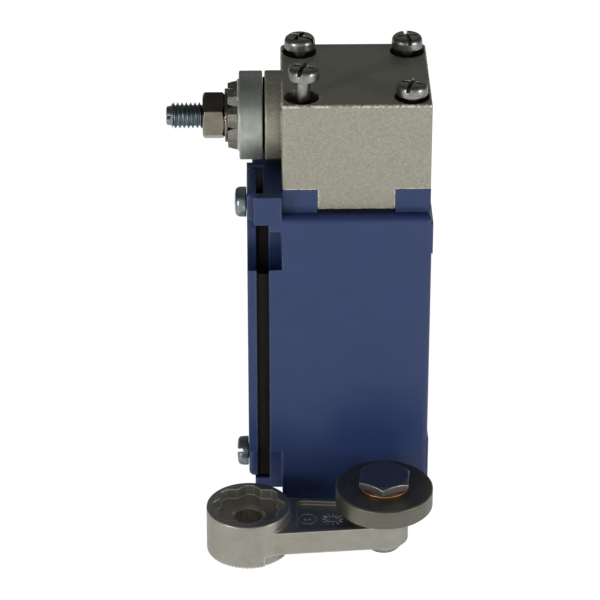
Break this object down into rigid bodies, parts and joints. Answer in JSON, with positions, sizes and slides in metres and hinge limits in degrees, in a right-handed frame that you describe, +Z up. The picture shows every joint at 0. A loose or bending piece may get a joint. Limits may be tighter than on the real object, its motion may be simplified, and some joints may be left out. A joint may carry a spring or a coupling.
{
  "type": "limit switch",
  "caption": "Metal-bodied limit switch with a rotary head, its roller lever taken off and lying in front of it.",
  "frame": {"origin": "centre of the cable entry's mouth, in the bottom face of the case", "axes": "+X out of the mounting face, -X towards the cover and the shaft end, +Z up through the head, -Y towards the loose lever"},
  "size_m": [0.0613, 0.067, 0.1136],
  "materials": {
    "blue_paint": "gloss enamel over die-cast zinc",
    "cast_head": "sand-textured metallic paint on a casting",
    "cast_lever": "satin tumbled casting",
    "star_metal": "dark sintered steel",
    "zinc_plate": "dull zinc plate",
    "nickel": "bright nickel plate",
    "screw_steel": "bright zinc-plated screw",
    "stud_steel": "bluish zinc-plated thread",
    "roller_steel": "ground steel, satin",
    "pin_steel": "turned steel",
    "bronze": "sintered bronze",
    "rubber": "black rubber",
    "black_plastic": "glass-filled moulding",
    "grey_plastic": "grey moulding",
    "white_plastic": "acetal",
    "contact_brass": "stamped brass",
    "spring_steel": "drawn spring wire",
    "cam_steel": "hardened steel"
  },
  "bodies": {
    "case": {"body_shell": "blue_paint", "front_cover": "blue_paint", "cover_gasket": "rubber", "cover_screws": "stud_steel", "head_seal": "rubber", "earth_screw": "contact_brass", "head_block": "cast_head", "head_screws": "screw_steel", "head_screw_loose": "screw_steel", "shaft_bush": "bronze", "dust_seal": "rubber", "plunger_guide": "white_plastic", "plunger_seal": "rubber", "plunger_spring": "spring_steel", "block_housing": "black_plastic", "block_cover": "grey_plastic", "block_screws": "screw_steel", "block_spring": "spring_steel", "terminal_nc_left": "contact_brass", "terminal_nc_right": "contact_brass", "terminal_no_left": "contact_brass", "terminal_no_right": "contact_brass", "terminal_screws": "screw_steel", "terminal_clamps": "screw_steel"},
    "shaft": {"lever_shaft": "stud_steel", "shaft_cam": "cam_steel", "cam_pin": "cam_steel", "shaft_seal": "rubber", "retaining_ring": "spring_steel", "drive_ring": "zinc_plate", "star_boss": "star_metal", "lock_washer": "nickel", "lever_nut": "nickel"},
    "plunger": {"head_plunger": "cam_steel"},
    "carrier": {"contact_carrier": "white_plastic", "bridge_nc": "contact_brass", "bridge_no": "contact_brass", "bridge_spring_nc": "spring_steel", "bridge_spring_no": "spring_steel"},
    "lever": {"lever_arm": "cast_lever", "roller_pin": "pin_steel", "roller_washer": "bronze"},
    "roller": {"roller_wheel": "roller_steel", "roller_bush": "bronze"}
  },
  "joints": [
    {"name": "shaft_turn", "type": "hinge", "parent": "case", "child": "shaft", "pos_m": [-0.02, 0, 0.0954], "axis": [1, 0, 0], "range_deg": [0, 70], "stiffness_Nm_per_rad": 0.08, "springref_deg": -17.19},
    {"name": "plunger_slide", "type": "slide", "parent": "case", "child": "plunger", "axis": [0, 0, -1], "range_m": [0, 0.0037], "deforming": ["plunger_spring"]},
    {"name": "carrier_slide", "type": "slide", "parent": "case", "child": "carrier", "axis": [0, 0, -1], "range_m": [0, 0.0037], "deforming": ["block_spring"]},
    {"name": "lever_lift", "type": "slide", "parent": "case", "child": "lever", "axis": [0, 0, 1], "range_m": [0, 0.03]},
    {"name": "roller_spin", "type": "hinge", "parent": "lever", "child": "roller", "pos_m": [0.00647, -0.0356, 0.0139], "axis": [0, 0, 1], "continuous": true}
  ],
  "couplings": [
    {"joint": "plunger_slide", "follows": "shaft_turn", "m_per_rad": 0.003},
    {"joint": "carrier_slide", "follows": "shaft_turn", "m_per_rad": 0.003}
  ]
}
